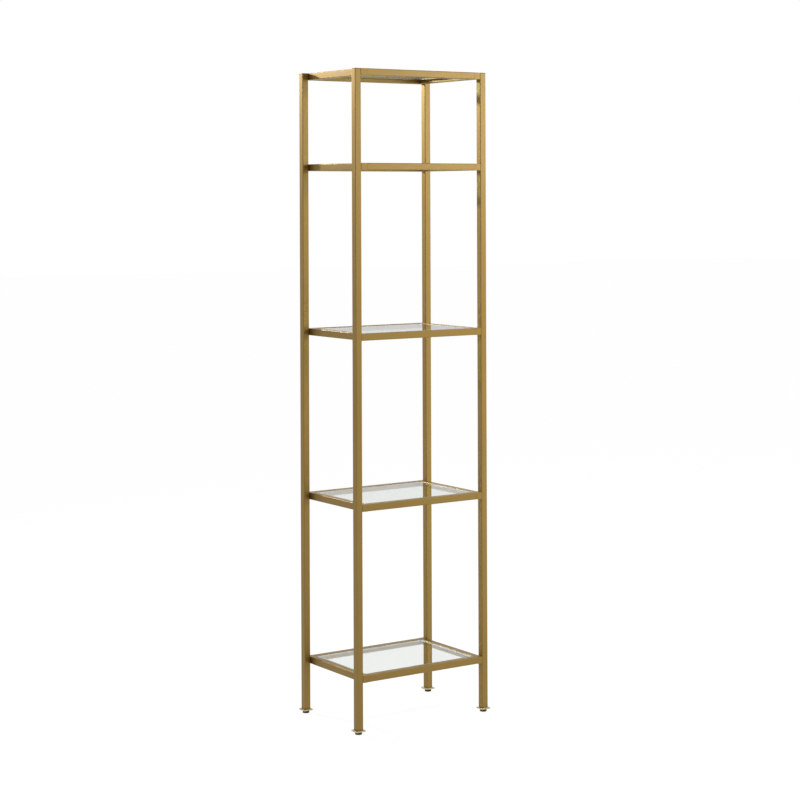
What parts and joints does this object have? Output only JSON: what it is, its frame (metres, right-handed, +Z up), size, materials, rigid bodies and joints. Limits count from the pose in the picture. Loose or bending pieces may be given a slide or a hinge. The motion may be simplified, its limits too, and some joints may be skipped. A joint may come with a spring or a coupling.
{
  "type": "etagere",
  "caption": "Tall narrow open etagere: glass panels lie in welded square-tube shelf frames between square posts, on swivel levelling glides.",
  "frame": {"origin": "on the floor, under the centre of the four posts", "axes": "+Z up, front towards -Y, +X to the right as seen from the front"},
  "size_m": [0.4672, 0.3148, 1.8796],
  "materials": {
    "brushed_gold_metal": "brushed soft gold plating on steel, satin",
    "clear_glass": "clear tempered glass with polished edges",
    "clear_vinyl": "soft clear vinyl strip",
    "zinc_steel": "zinc-plated thread",
    "black_nylon": "moulded black nylon"
  },
  "bodies": {
    "frame": {"post_front_left": "brushed_gold_metal", "post_cap_front_left": "brushed_gold_metal", "foot_plate_front_left": "brushed_gold_metal", "glide_stem_front_left": "zinc_steel", "post_rear_left": "brushed_gold_metal", "post_cap_rear_left": "brushed_gold_metal", "foot_plate_rear_left": "brushed_gold_metal", "glide_stem_rear_left": "zinc_steel", "post_front_right": "brushed_gold_metal", "post_cap_front_right": "brushed_gold_metal", "foot_plate_front_right": "brushed_gold_metal", "glide_stem_front_right": "zinc_steel", "post_rear_right": "brushed_gold_metal", "post_cap_rear_right": "brushed_gold_metal", "foot_plate_rear_right": "brushed_gold_metal", "glide_stem_rear_right": "zinc_steel", "shelf_1_rail_left": "brushed_gold_metal", "shelf_1_rail_right": "brushed_gold_metal", "shelf_1_rail_front": "brushed_gold_metal", "shelf_1_rail_rear": "brushed_gold_metal", "shelf_1_ledge": "brushed_gold_metal", "shelf_1_gasket": "clear_vinyl", "shelf_2_rail_left": "brushed_gold_metal", "shelf_2_rail_right": "brushed_gold_metal", "shelf_2_rail_front": "brushed_gold_metal", "shelf_2_rail_rear": "brushed_gold_metal", "shelf_2_ledge": "brushed_gold_metal", "shelf_2_gasket": "clear_vinyl", "shelf_3_rail_left": "brushed_gold_metal", "shelf_3_rail_right": "brushed_gold_metal", "shelf_3_rail_front": "brushed_gold_metal", "shelf_3_rail_rear": "brushed_gold_metal", "shelf_3_ledge": "brushed_gold_metal", "shelf_3_gasket": "clear_vinyl", "shelf_4_rail_left": "brushed_gold_metal", "shelf_4_rail_right": "brushed_gold_metal", "shelf_4_rail_front": "brushed_gold_metal", "shelf_4_rail_rear": "brushed_gold_metal", "shelf_4_ledge": "brushed_gold_metal", "shelf_4_gasket": "clear_vinyl", "shelf_5_rail_left": "brushed_gold_metal", "shelf_5_rail_right": "brushed_gold_metal", "shelf_5_rail_front": "brushed_gold_metal", "shelf_5_rail_rear": "brushed_gold_metal", "shelf_5_ledge": "brushed_gold_metal", "shelf_5_gasket": "clear_vinyl"},
    "glide_base_front_left": {"glide_base_front_left": "black_nylon"},
    "glide_base_rear_left": {"glide_base_rear_left": "black_nylon"},
    "glide_base_front_right": {"glide_base_front_right": "black_nylon"},
    "glide_base_rear_right": {"glide_base_rear_right": "black_nylon"},
    "glass_1": {"shelf_1_glass": "clear_glass"},
    "glass_2": {"shelf_2_glass": "clear_glass"},
    "glass_3": {"shelf_3_glass": "clear_glass"},
    "glass_4": {"shelf_4_glass": "clear_glass"},
    "glass_5": {"shelf_5_glass": "clear_glass"}
  },
  "joints": [
    {"name": "glide_front_left_swivel", "type": "hinge", "parent": "frame", "child": "glide_base_front_left", "pos_m": [-0.2186, -0.1424, 0.008], "axis": [0, 0, 1], "continuous": true},
    {"name": "glide_rear_left_swivel", "type": "hinge", "parent": "frame", "child": "glide_base_rear_left", "pos_m": [-0.2186, 0.1424, 0.008], "axis": [0, 0, 1], "continuous": true},
    {"name": "glide_front_right_swivel", "type": "hinge", "parent": "frame", "child": "glide_base_front_right", "pos_m": [0.2186, -0.1424, 0.008], "axis": [0, 0, 1], "continuous": true},
    {"name": "glide_rear_right_swivel", "type": "hinge", "parent": "frame", "child": "glide_base_rear_right", "pos_m": [0.2186, 0.1424, 0.008], "axis": [0, 0, 1], "continuous": true},
    {"name": "glass_1_lift", "type": "slide", "parent": "frame", "child": "glass_1", "axis": [0, 0, 1], "range_m": [0, 0.04]},
    {"name": "glass_2_lift", "type": "slide", "parent": "frame", "child": "glass_2", "axis": [0, 0, 1], "range_m": [0, 0.04]},
    {"name": "glass_3_lift", "type": "slide", "parent": "frame", "child": "glass_3", "axis": [0, 0, 1], "range_m": [0, 0.04]},
    {"name": "glass_4_lift", "type": "slide", "parent": "frame", "child": "glass_4", "axis": [0, 0, 1], "range_m": [0, 0.04]},
    {"name": "glass_5_lift", "type": "slide", "parent": "frame", "child": "glass_5", "axis": [0, 0, 1], "range_m": [0, 0.04]}
  ]
}
